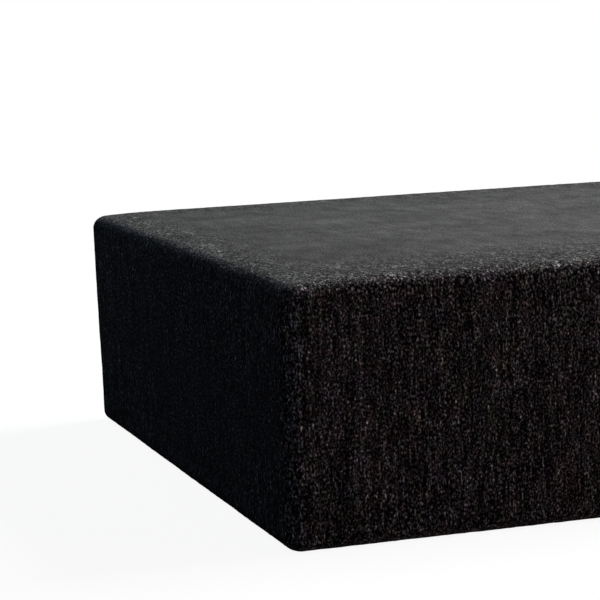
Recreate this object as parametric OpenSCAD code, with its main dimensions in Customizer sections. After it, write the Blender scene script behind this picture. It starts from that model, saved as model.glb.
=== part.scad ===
// Foam block: one solid piece of fine-celled foam, sawn from a thick sheet, with soft rounded edges.
// The origin is the centre of the underside. X runs along the length, Y along the depth, Z is up.

/* [Block] */
// Length, along X
block_length = 200; // [60:1:600]
// Depth, along Y
block_depth = 150; // [40:1:400]
// Height, which is the thickness of the sheet that the block is cut from
block_height = 50; // [20:1:120]

/* [Edges] */
// Radius to which all twelve edges and the eight corners are rounded
edge_radius = 3; // [0.5:0.1:9]

/* [Hidden] */
foam_colour = [0.11, 0.11, 0.115];
arc_facets = 64;

// The rounded edge's arc, at the foot and at the head of the block, centred on the Y axis.
module edge_arcs() {
    for (level = [edge_radius, block_height - edge_radius])
        translate([0, level])
            circle(r = edge_radius, $fn = arc_facets);
}

// Upright section through the block: a rectangle of the given width that stands on the X axis,
// centred on it, with a rounded edge in each of its four corners.
module block_section(width) {
    arc_centre = width / 2 - edge_radius;
    translate([-width / 2, edge_radius])
        square([width, block_height - 2 * edge_radius]);
    translate([-arc_centre, 0])
        square([2 * arc_centre, block_height]);
    for (side = [-1, 1])
        translate([side * arc_centre, 0])
            edge_arcs();
}

// A straight run along Y, centred on the origin, of a section that is as wide as given.
module straight_run(width, run) {
    translate([0, run / 2, 0])
        rotate([90, 0, 0])
            linear_extrude(height = run)
                block_section(width);
}

// The quarter turn that joins two runs: an upright edge with a rounded corner at its foot and head.
module corner_turn() {
    rotate_extrude(angle = 90, $fn = arc_facets)
        intersection() {
            square([edge_radius, block_height]);
            union() {
                translate([0, edge_radius])
                    square([edge_radius, block_height - 2 * edge_radius]);
                edge_arcs();
            }
        }
}

module foam_block() {
    run_x = block_length - 2 * edge_radius;
    run_y = block_depth - 2 * edge_radius;
    color(foam_colour) {
        straight_run(block_length, run_y);
        rotate([0, 0, 90])
            straight_run(block_depth, run_x);
        for (mirror_x = [0, 1], mirror_y = [0, 1])
            mirror([mirror_x, 0, 0])
                mirror([0, mirror_y, 0])
                    translate([run_x / 2, run_y / 2, 0])
                        corner_turn();
    }
}

foam_block();
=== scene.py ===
import math

import bpy
from mathutils import Matrix, Vector


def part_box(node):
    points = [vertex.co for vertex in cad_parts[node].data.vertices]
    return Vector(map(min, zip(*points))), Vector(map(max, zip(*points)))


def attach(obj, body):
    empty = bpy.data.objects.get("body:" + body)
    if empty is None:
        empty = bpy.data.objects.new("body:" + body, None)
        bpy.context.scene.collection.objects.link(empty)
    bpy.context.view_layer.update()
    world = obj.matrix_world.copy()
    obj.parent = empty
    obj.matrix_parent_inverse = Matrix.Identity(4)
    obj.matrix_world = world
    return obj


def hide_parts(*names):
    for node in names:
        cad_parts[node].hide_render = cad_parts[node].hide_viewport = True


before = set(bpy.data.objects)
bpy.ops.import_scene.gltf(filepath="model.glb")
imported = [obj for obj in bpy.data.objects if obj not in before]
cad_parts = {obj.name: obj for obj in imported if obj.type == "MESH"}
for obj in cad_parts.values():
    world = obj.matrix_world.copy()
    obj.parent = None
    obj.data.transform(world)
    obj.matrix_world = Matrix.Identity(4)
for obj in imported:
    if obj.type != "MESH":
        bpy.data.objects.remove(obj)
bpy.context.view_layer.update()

# A block of fine-celled black foam, sawn from a thick sheet, on a plain pale floor.
# Lengths are in metres unless a comment gives another unit. X runs along the block's length, Y along
# its depth, and Z up.
MM = 0.001

block_low, block_high = (Vector(corner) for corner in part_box("foam_block"))
block_size = block_high - block_low
block_centre = (block_low + block_high) / 2

# The block's form: each entry is an input of the tree that makes it
form_sizes = {
    "Size": block_size,
    "Centre": block_centre,
    "Pitch": Vector((1.05, 1.05, 0.8)) * MM,   # about how far apart the mesh's points are

    "Edge Radius": 2.85 * MM,       # round the two skins
    "Upright Radius": 3.5 * MM,     # the four upright corners, as seen from above
    "Sawn Below": 0.45,             # all sawn side where the Z of the normal is less than this,
    "Skin Above": 0.76,             # and all skin where it is more than this

    "Rim Start": 3.0 * MM,          # This far in from a side, the rim of a skin begins to fade,
    "Rim Reach": 42.0 * MM,         # and here it has gone
    "Finer Cut Gain": 1.8,          # Its open cells fade this much faster from the ends and the back,
    "Finer Cut Start": 6.0 * MM,    # and begin as if this far in already, because those cuts are finer
    "Corner Light Start": 0.3 * MM,         # Painted light lies full down the upright corners up to here, and less and less up to here
    "Corner Light Reach": 3.6 * MM,         # and less and less up to here

    # Unevenness of four kinds. Each has a height, in or out, a spread from one mark to the next, and
    # a stretch, which draws the marks out along an axis where it is under 1
    "Wander Height": 0.16 * MM,     # a sawn side wanders in and out
    "Wander Spread": 24.0 * MM,
    "Wander Stretch": Vector((1.0, 1.0, 0.8)),
    "Streak Height": 0.06 * MM,     # upright furrows that the blade leaves
    "Streak Spread": 1.3 * MM,
    "Streak Stretch": Vector((1.0, 1.0, 0.07)),
    "Crumb Height": 0.09 * MM,      # loose cell walls, so that no edge is a clean line
    "Crumb Spread": 1.6 * MM,
    "Crumb Stretch": Vector((1.0, 1.0, 0.7)),
    "Swell Height": 0.10 * MM,      # the two skins rise and fall gently
    "Swell Spread": 38.0 * MM,
    "Swell Stretch": Vector((1.0, 1.0, 1.0)),
    "Seed": Vector((11.0, 18.7, 0.0)),   # where in the noise all four are taken from

    "End Twist": 0.36 * MM,         # An end cut leans one way at the front and the other at the back
    "End Droop": 0.45 * MM,         # The top skin sinks a little towards the two sawn ends,
    "Front Droop": 0.12 * MM,       # less towards the front,
    "Corner Droop": 0.40 * MM,      # and most at the upright corners:
    "Back Corner Share": 0.4,       # at the back by this share of it, and in front by 1 share more
    "Droop Reach": 14.0 * MM,       # how far from the edges it begins
}

# The layers of the foam's finish. Each is noise with
# - so many cells to a metre,
# - a stretch, which draws the cells out along an axis where it is under 1,
# - a shift, in metres,
# - a detail, which mixes finer cells in where it is 1,
# - a strength, in the logarithm of the brightness.
UNMOVED = (0.0, 0.0, 0.0)
finish_layers = {
    # Walls of the cut cells, and the finest of them
    "grain": (2800.0, (1.0, 1.0, 0.62), UNMOVED, 0.0, 3.25),
    "dust": (5200.0, (1.0, 1.0, 0.8), UNMOVED, 0.0, 2.0),
    # Torn upright strands, and the saw's upright furrows
    "fibre": (2300.0, (1.0, 1.0, 0.16), UNMOVED, 0.0, 1.25),
    "furrow": (1150.0, (1.0, 1.0, 0.04), (0.041, 0.017, 0.0), 1.0, 0.85),
    # Lighter and darker patches all over
    "drift": (260.0, (1.0, 1.0, 1.0), UNMOVED, 1.0, 0.3),
    # On the skins only: open pits near the rim, blotches, and wide faint clouds
    "clump": (1250.0, (1.0, 0.5, 1.0), UNMOVED, 1.0, 1.8),
    "mottle": (260.0, (1.0, 0.45, 1.0), UNMOVED, 1.0, 0.5),
    "cloud": (38.0, (1.0, 1.0, 1.0), UNMOVED, 1.0, 0.34),
}
skin_brightness = 0.0768     # about the mean over a skin, where white is 1,
sawn_brightness = 0.0307     # and over a sawn side
sawn_hollows = 0.005         # taken off all over a sawn side, so that its hollows go black,
least_brightness = 0.0005    # but never below this
skin_contrast = 0.35         # how strongly the layers show well in on a skin,
rough_contrast = 0.55        # how much more where the cells are open,
sawn_contrast = 0.1          # and how much more again where they are sawn too
painted_rim_shade = 0.25             # painted shade: the rim of a skin is darker by this, in the logarithm of the brightness, and painted light makes an upright corner lighter by this
painted_corner_light = 0.28            # and a rubbed corner is lighter

foam_hue = (0.985, 1.0, 0.995)
hue_patches = 420.0          # patches to a metre, each leaning towards its own hue
skin_hue_lean = 0.13         # by this much on a skin,
sawn_hue_lean = 0.45         # and this much more where it is sawn

grain_bump, dust_bump = 0.6, 0.3
bump_depth = 0.1 * MM
bump_strength = 0.5
sheen, sheen_roughness = 0.02, 0.5

# The floor: a square, and its levels of grey and light
floor_reach = 6.0                        # from the middle to each side
shadow_start, shadow_end = 0.25, 0.6     # the shadow is whole up to the first, and gone by the second
floor_bounce = 0.04                      # its grey in the light that it throws back on the block
floor_grey = 0.11                        # its grey to the eye, which shows the shadow
floor_glow = 0.92                        # and the light that it gives off to the eye, which doesn't

# The even light from all round
surround_colour = (0.8, 0.92, 1.4, 1.0)
surround_strength = 0.03

# The soft boxes: direction from the block, distance, size, level and tint
soft_boxes = {
    "sky_panel": ((1.22, 0.19, 1.0), 0.8, 0.5, 1.94, (0.99, 1.0, 0.965)),
    "back_panel": ((-0.62, 0.96, 0.86), 0.42, 0.3, 0.138, (0.8, 1.04, 1.32)),
    "front_panel": ((-0.32, -1.0, 0.3), 0.7, 0.4, 0.098, (0.98, 0.95, 1.21)),
    "right_panel": ((0.96, -1.0, 0.3), 0.45, 0.3, 0.272, (1.52, 0.9, 0.745)),
}

# The camera, a long lens held low, and a little to the left of the near corner
camera_azimuth = math.radians(17.86)      # turned this far to the right of straight ahead,
camera_elevation = math.radians(7.80)     # looking down by this much,
camera_roll = math.radians(-2.04)         # and tilted
camera_place = Vector((-2.450, -7.823, 2.061))   # from the near bottom corner, in heights of the block
sensor_width = 36.0                       # of the camera, in millimetres, as the lens is
lens_length = 138.9


class Wire:
    """A node's output, on which sums are written as on a number."""

    def __init__(self, bench, socket):
        self.bench = bench
        self.socket = socket

    def maths(self, operation, *others):
        values = dict(zip(("Value", "Value_001", "Value_002"), (self, *others)))
        return self.bench.node("ShaderNodeMath", {"operation": operation}, values)

    def __add__(self, other):
        return self.maths("ADD", other)

    def __sub__(self, other):
        return self.maths("SUBTRACT", other)

    def __mul__(self, other):
        return self.maths("MULTIPLY", other)

    def __truediv__(self, other):
        return self.maths("DIVIDE", other)

    def __rsub__(self, other):
        return (self * -1.0) + other

    __radd__ = __add__
    __rmul__ = __mul__

    def exponential(self):
        return self.maths("EXPONENT")

    def unsigned(self):
        return self.maths("ABSOLUTE")

    def at_least(self, other):
        return self.maths("MAXIMUM", other)

    def at_most(self, other):
        return self.maths("MINIMUM", other)

    def between(self, low, high):
        """0 below low, 1 above high, and a smooth rise from one to the other."""
        settings = {"interpolation_type": "SMOOTHSTEP"}
        sockets = {"Value": self, "From Min": low, "From Max": high}
        return self.bench.node("ShaderNodeMapRange", settings, sockets)

    def part(self, axis):
        """The X, Y or Z of a vector."""
        return self.bench.node("ShaderNodeSeparateXYZ", {}, {"Vector": self}, axis)

    def vector(self, operation, *others, out=0):
        names = ("Vector", "Vector_001", "Vector_002")
        values = dict(zip(names, (self, *others)))
        return self.bench.node("ShaderNodeVectorMath", {"operation": operation}, values, out)

    def times(self, amount):
        """A vector scaled by one number."""
        sockets = {"Vector": self, "Scale": amount}
        return self.bench.node("ShaderNodeVectorMath", {"operation": "SCALE"}, sockets)


class Bench:
    """A node tree being built, for a material or for a piece's form."""

    def __init__(self, tree):
        self.tree = tree

    def node(self, kind, settings=None, sockets=None, out=0):
        """Adds a node, sets it up, gives its sockets numbers or wires, and returns one output."""
        made = self.tree.nodes.new(kind)
        for name, value in (settings or {}).items():
            setattr(made, name, value)
        for name, value in (sockets or {}).items():
            socket = next(s for s in made.inputs if name in (s.identifier, s.name))
            if isinstance(value, Wire):
                self.tree.links.new(value.socket, socket)
            else:
                socket.default_value = value
        if not made.outputs:
            return None
        if isinstance(out, str):
            out = next(i for i, s in enumerate(made.outputs) if out in (s.identifier, s.name))
        return Wire(self, made.outputs[out])

    def noise(self, place, scale, detail):
        """Smooth noise round 0, about -1 to 1, from a place that is already stretched."""
        sockets = {"Vector": place, "Scale": scale, "Detail": detail}
        return self.node("ShaderNodeTexNoise", {}, sockets, "Fac") * 2.0 - 1.0

    def to_the_eye(self):
        """1 for what the camera sees, straight or in gloss or through glass, and 0 for other light."""
        rays = ("Is Camera Ray", "Is Glossy Ray", "Is Transmission Ray")
        seen, glossy, through = (self.node("ShaderNodeLightPath", {}, {}, ray) for ray in rays)
        return seen.at_least(glossy).at_least(through)


def start_material(name):
    material = bpy.data.materials.new(name)
    material.use_nodes = True
    material.node_tree.nodes.clear()
    return material, Bench(material.node_tree)


def foam_material():
    """Black foam with open cut cells: dark hollows, and cell walls that catch the light."""
    material, bench = start_material("cut_foam")
    place = bench.node("ShaderNodeTexCoord", {}, {}, "Object")
    zones = ("sawn", "rim", "rough", "lit_corner")
    sawn, rim, rough, lit_corner = (
        bench.node("ShaderNodeAttribute", {"attribute_name": zone}, {}, "Fac") for zone in zones)
    skin = 1.0 - sawn

    noise, shown = {}, {}
    for name, (cells, stretch, shift, detail, strength) in finish_layers.items():
        spot = place.vector("MULTIPLY_ADD", stretch, shift)
        noise[name] = bench.noise(spot, cells, detail)
        shown[name] = noise[name] * strength

    marks = shown["fibre"] + shown["furrow"]
    fine = shown["grain"] + shown["dust"] + sawn * marks + shown["drift"]
    contrast = rough * (sawn * sawn_contrast + rough_contrast) + skin_contrast
    blotches = rough * shown["clump"] + shown["mottle"] + shown["cloud"]
    # Painted shade darkens the rim of a skin, and painted light lightens the upright corners
    tone = skin * (blotches - rim * painted_rim_shade) + sawn * lit_corner * painted_corner_light
    # A stronger speckle has a higher mean, so the level comes down by as much
    skin_level, sawn_level = math.log(skin_brightness), math.log(sawn_brightness)
    level = sawn * (sawn_level - skin_level) + skin_level - contrast * contrast * 0.5
    brightness = (fine * contrast + tone + level).exponential()
    brightness = (brightness - sawn * sawn_hollows).at_least(least_brightness)

    # Each small patch of cells leans towards its own hue, more so where it is sawn
    sockets = {"Vector": place, "Scale": hue_patches, "Detail": 1.0}
    patches = bench.node("ShaderNodeTexNoise", {}, sockets, "Color")
    leaning = patches.vector("SUBTRACT", (0.5, 0.5, 0.5)).times(sawn * sawn_hue_lean + skin_hue_lean)
    colour = leaning.vector("ADD", foam_hue).times(brightness)

    height = noise["grain"] * grain_bump + noise["dust"] * dust_bump
    bump = bench.node("ShaderNodeBump", {}, {
        "Strength": bump_strength, "Distance": bump_depth, "Height": height})
    shader = bench.node("ShaderNodeBsdfPrincipled", {}, {
        "Base Color": colour, "Roughness": 1.0, "Normal": bump, "Specular IOR Level": 0.0,
        "Sheen Weight": sheen, "Sheen Roughness": sheen_roughness})
    bench.node("ShaderNodeOutputMaterial", {}, {"Surface": shader})
    return material


def socket_kind(value):
    if isinstance(value, Vector):
        return "NodeSocketVector"
    if isinstance(value, bpy.types.Material):
        return "NodeSocketMaterial"
    return "NodeSocketFloat"


def grid(bench, given):
    """A finely divided box, with a point about every pitch along each axis."""
    counts = given["Size"].vector("DIVIDE", given["Pitch"])
    return bench.node("GeometryNodeMeshCube", {}, {
        "Size": given["Size"], "Vertices X": counts.part(0), "Vertices Y": counts.part(1),
        "Vertices Z": counts.part(2)}, "Mesh")


def rounded_place(bench, given, half):
    """Where each point of the grid goes, so that all twelve edges and eight corners are round."""
    nought = (0.0, 0.0, 0.0)
    no_height = (1.0, 1.0, 0.0)
    edge, corner = given["Edge Radius"], given["Upright Radius"]

    # The four upright corners: square rings round each corner's centre become round ones.
    # The tangent spaces the grid's points evenly round the arc.
    place = bench.node("GeometryNodeInputPosition")
    side = place.vector("SIGN")
    from_middle = place.vector("ABSOLUTE")
    core = half.vector("SUBTRACT", corner)
    ring = from_middle.vector("SUBTRACT", core).vector("MAXIMUM", nought)
    ring = ring.vector("DIVIDE", corner).vector("MULTIPLY", no_height)
    reach = ring.part(0).at_least(ring.part(1))
    not_zero = reach + 1e-9
    even = ring.vector("DIVIDE", not_zero).times(math.pi / 4).vector("TANGENT")
    outward = even.vector("NORMALIZE")

    # The edges of the two skins: a point within a radius of the edge moves on to the arc
    across = (1.0 - (1.0 - reach) * corner / edge).at_least(0.0)
    upward = ((place.part(2).unsigned() - half.part(2)) / edge + 1.0).at_least(0.0)
    arc = bench.node("ShaderNodeCombineXYZ", {}, {"X": across, "Y": upward})
    arc = arc.times(math.pi / 4).vector("TANGENT").vector("NORMALIZE")
    run = (reach * corner).at_most(corner - edge) + edge * arc.part(0)
    rise = (half.part(2) - edge) + edge * arc.part(1)
    lift = bench.node("ShaderNodeCombineXYZ", {}, {"Z": rise.at_most(place.part(2).unsigned())})
    inner = from_middle.vector("MINIMUM", core).vector("MULTIPLY", no_height)
    return inner.vector("ADD", outward.times(run)).vector("ADD", lift).vector("MULTIPLY", side)


def finish_zones(bench, given, half):
    """The zones that the finish follows, each from 0 to 1 at every point."""
    upright = bench.node("GeometryNodeInputNormal", {}, {}, "Normal").part(2).unsigned()
    here = bench.node("GeometryNodeInputPosition")
    depth_in = half.vector("SUBTRACT", here.vector("ABSOLUTE"))
    nearest = depth_in.part(0).at_most(depth_in.part(1))
    farther = depth_in.part(0).at_least(depth_in.part(1))

    # The front cut is the roughest, and the open cells of the others reach less far in
    from_front = here.part(1) + half.part(1)
    from_back = half.part(1) - here.part(1)
    from_others = depth_in.part(0).at_most(from_back)
    from_finer_cut = from_others * given["Finer Cut Gain"] + given["Finer Cut Start"]
    from_cut = from_front.at_most(from_finer_cut)

    return {
        # 1 on a side, and 0 on a skin
        "sawn": 1.0 - upright.between(given["Sawn Below"], given["Skin Above"]),
        # 1 next to the block's upright sides, and 0 well in on a skin; it carries the painted shade at a
        # skin's rim
        "rim": 1.0 - nearest.between(given["Rim Start"], given["Rim Reach"]),
        # How open the cells are
        "rough": 1.0 - from_cut.between(given["Rim Start"], given["Rim Reach"]),
        # 1 down the upright corners, which painted light makes a little lighter
        "lit_corner": 1.0 - farther.between(given["Corner Light Start"], given["Corner Light Reach"]),
    }


def unevenness(bench, given, kind):
    """How far one kind of unevenness moves each point, out or in."""
    spread, stretch, height = (given[kind + size] for size in (" Spread", " Stretch", " Height"))
    here = bench.node("GeometryNodeInputPosition")
    spot = here.vector("DIVIDE", spread).vector("MULTIPLY", stretch).vector("ADD", given["Seed"])
    return bench.noise(spot, 1.0, 1.0) * height


def uneven_move(bench, given):
    """The move that roughens the sawn sides and the skins, along the outward direction."""
    wander, streaks, crumbs, swell = (
        unevenness(bench, given, kind) for kind in ("Wander", "Streak", "Crumb", "Swell"))
    sawn = bench.node(
        "GeometryNodeInputNamedAttribute", {"data_type": "FLOAT"}, {"Name": "sawn"}, "Attribute")
    push = sawn * (wander + streaks) + crumbs + (1.0 - sawn) * swell
    facing = bench.node("GeometryNodeInputNormal", {}, {}, "Normal")
    return facing.times(push)


def slack_move(bench, given, half):
    """The move that twists the end cuts slightly, and lets the top skin sink towards the cuts."""
    here = bench.node("GeometryNodeInputPosition")
    share = here.vector("DIVIDE", half)              # -1 to 1 across the block, along each axis
    end = share.part(0).maths("SIGN")
    in_front = share.part(1) * -0.5 + 0.5            # 0 at the back, and 1 at the front
    to_side = half.vector("SUBTRACT", here.vector("ABSOLUTE")).vector("DIVIDE", given["Droop Reach"])
    near_end = (1.0 - to_side.part(0)).at_least(0.0)
    near_side = (1.0 - to_side.part(1)).at_least(0.0)

    twist = end * share.part(1) * share.part(2) * near_end * given["End Twist"]
    sink = near_end * near_end * given["End Droop"]
    sink = sink + near_end * near_side * (in_front + given["Back Corner Share"]) * given["Corner Droop"]
    sink = sink + near_side * near_side * in_front * given["Front Droop"]
    droop = share.part(2).at_least(0.0) * sink * -1.0
    return bench.node("ShaderNodeCombineXYZ", {}, {"X": twist, "Z": droop})


def place_above_underside(bench, half):
    """Each point's own place, or the flat underside if that is higher."""
    here = bench.node("GeometryNodeInputPosition")
    # The sides are left alone, as their limit is twice as far out
    lowest = half.vector("MULTIPLY", (-2.0, -2.0, -1.0))
    return here.vector("MAXIMUM", lowest)


def foam_form(inputs):
    """The tree that makes the block: a fine grid rounded at its edges, then worn by the saw.

    A place or a normal in it is the one that a point has at the step that uses it.
    """
    tree = bpy.data.node_groups.new("sawn_block", "GeometryNodeTree")
    for name, value in inputs.items():
        tree.interface.new_socket(name, in_out="INPUT", socket_type=socket_kind(value))
    tree.interface.new_socket("Block", in_out="OUTPUT", socket_type="NodeSocketGeometry")
    bench = Bench(tree)
    entry = tree.nodes.new("NodeGroupInput")
    given = {socket.name: Wire(bench, socket) for socket in entry.outputs if socket.name}
    half = given["Size"].times(0.5)

    def step(block, kind, settings=None, **sockets):
        return bench.node("GeometryNode" + kind, settings, {"Geometry": block, **sockets})

    block = grid(bench, given)
    block = step(block, "SetPosition", Position=rounded_place(bench, given, half))
    at_points = {"data_type": "FLOAT", "domain": "POINT"}
    for zone, value in finish_zones(bench, given, half).items():
        block = step(block, "StoreNamedAttribute", at_points, Name=zone, Value=value)
    block = step(block, "SetPosition", Offset=uneven_move(bench, given))
    block = step(block, "SetPosition", Offset=slack_move(bench, given, half))
    block = step(block, "SetPosition", Position=place_above_underside(bench, half))
    block = step(block, "Transform", Translation=given["Centre"])
    block = step(block, "SetShadeSmooth")
    block = step(block, "RealizeInstances")
    block = step(block, "SetMaterial", Material=given["Foam"])
    bench.node("NodeGroupOutput", {}, {"Block": block})
    return tree


def make_by_tree(name, tree, inputs):
    """Runs a tree on an empty piece, and returns the result as a plain mesh piece."""
    start = bpy.data.objects.new(name + "_start", bpy.data.meshes.new(name + "_start"))
    bpy.context.scene.collection.objects.link(start)
    maker = start.modifiers.new("maker", "NODES")
    maker.node_group = tree
    for item in tree.interface.items_tree:
        if item.in_out == "INPUT":
            maker[item.identifier] = inputs[item.name]
    graph = bpy.context.evaluated_depsgraph_get()
    mesh = bpy.data.meshes.new_from_object(start.evaluated_get(graph))
    mesh.name = name
    piece = bpy.data.objects.new(name, mesh)
    bpy.context.scene.collection.objects.link(piece)
    bpy.data.objects.remove(start)
    return piece


def make_foam():
    inputs = dict(form_sizes, Foam=foam_material())
    piece = make_by_tree("foam", foam_form(inputs), inputs)
    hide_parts("foam_block")
    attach(piece, "root")


def grey(level):
    return (level, level, level, 1.0)


def floor_material():
    """A pale floor. Near the block it carries the shadow, and further off it is plain white to the eye."""
    material, bench = start_material("pale_floor")
    place = bench.node("ShaderNodeTexCoord", {}, {}, "Object")
    away = place.vector("LENGTH", out="Value").between(shadow_start, shadow_end)
    plain = bench.node("ShaderNodeBsdfDiffuse", {}, {"Color": grey(floor_bounce)})
    pale = bench.node("ShaderNodeBsdfDiffuse", {}, {"Color": grey(floor_grey)})
    glow = bench.node("ShaderNodeEmission", {}, {"Color": grey(1.0), "Strength": floor_glow})
    white = bench.node("ShaderNodeEmission", {}, {"Color": grey(1.0), "Strength": 1.0})
    near = bench.node("ShaderNodeAddShader", {}, {"Shader": pale, "Shader_001": glow})
    eye = bench.node("ShaderNodeMixShader", {}, {"Fac": away, "Shader": near, "Shader_001": white})
    surface = bench.node("ShaderNodeMixShader", {}, {
        "Fac": bench.to_the_eye(), "Shader": plain, "Shader_001": eye})
    bench.node("ShaderNodeOutputMaterial", {}, {"Surface": surface})
    return material


def make_floor():
    signs = ((-1, -1), (1, -1), (1, 1), (-1, 1))
    corners = [(x * floor_reach, y * floor_reach, block_low.z) for x, y in signs]
    mesh = bpy.data.meshes.new("floor")
    mesh.from_pydata(corners, [], [(0, 1, 2, 3)])
    mesh.materials.append(floor_material())
    floor = bpy.data.objects.new("floor", mesh)
    bpy.context.scene.collection.objects.link(floor)


def make_world():
    """White to the eye, and a dim even light on everything else."""
    world = bpy.data.worlds.new("studio")
    world.use_nodes = True
    world.node_tree.nodes.clear()
    bench = Bench(world.node_tree)
    dim = bench.node("ShaderNodeBackground", {}, {
        "Color": surround_colour, "Strength": surround_strength})
    white = bench.node("ShaderNodeBackground", {}, {"Color": grey(1.0), "Strength": 1.0})
    surface = bench.node("ShaderNodeMixShader", {}, {
        "Fac": bench.to_the_eye(), "Shader": dim, "Shader_001": white})
    bench.node("ShaderNodeOutputWorld", {}, {"Surface": surface})
    bpy.context.scene.world = world


def turned_to(place, target):
    return (target - place).to_track_quat("-Z", "Y").to_matrix().to_4x4()


def make_light(name, direction, distance, size, level, tint):
    """A soft box. By itself, one with a level of 1 would show a surface that faces it as it is coloured."""
    lamp = bpy.data.lights.new(name, "AREA")
    lamp.shape = "SQUARE"
    lamp.size = size
    # A white surface straight in front gives back the energy / (pi * distance) ** 2
    lamp.energy = level * math.pi ** 2 * distance ** 2
    lamp.color = tint
    light = bpy.data.objects.new(name, lamp)
    place = block_centre + Vector(direction).normalized() * distance
    light.matrix_world = Matrix.Translation(place) @ turned_to(place, block_centre)
    light.visible_camera = False
    bpy.context.scene.collection.objects.link(light)


def make_camera():
    """A long lens, low and a little to the left, close on the near corner of the block."""
    place = block_low + camera_place * block_size.z
    ahead = Vector((
        math.sin(camera_azimuth) * math.cos(camera_elevation),
        math.cos(camera_azimuth) * math.cos(camera_elevation),
        -math.sin(camera_elevation)))
    right = ahead.cross(Vector((0, 0, 1))).normalized()
    above = right.cross(ahead)
    across = math.cos(camera_roll) * right + math.sin(camera_roll) * above
    up = math.cos(camera_roll) * above - math.sin(camera_roll) * right
    turn = Matrix((across, up, -ahead)).transposed().to_4x4()
    lens = bpy.data.cameras.new("camera")
    lens.sensor_width = sensor_width
    lens.lens = lens_length
    lens.clip_start, lens.clip_end = 0.01, 50.0
    camera = bpy.data.objects.new("camera", lens)
    camera.matrix_world = Matrix.Translation(place) @ turn
    bpy.context.scene.collection.objects.link(camera)
    bpy.context.scene.camera = camera


make_foam()
make_floor()
make_world()
for name, measures in soft_boxes.items():
    make_light(name, *measures)
make_camera()
bpy.context.scene.view_settings.view_transform = "Standard"
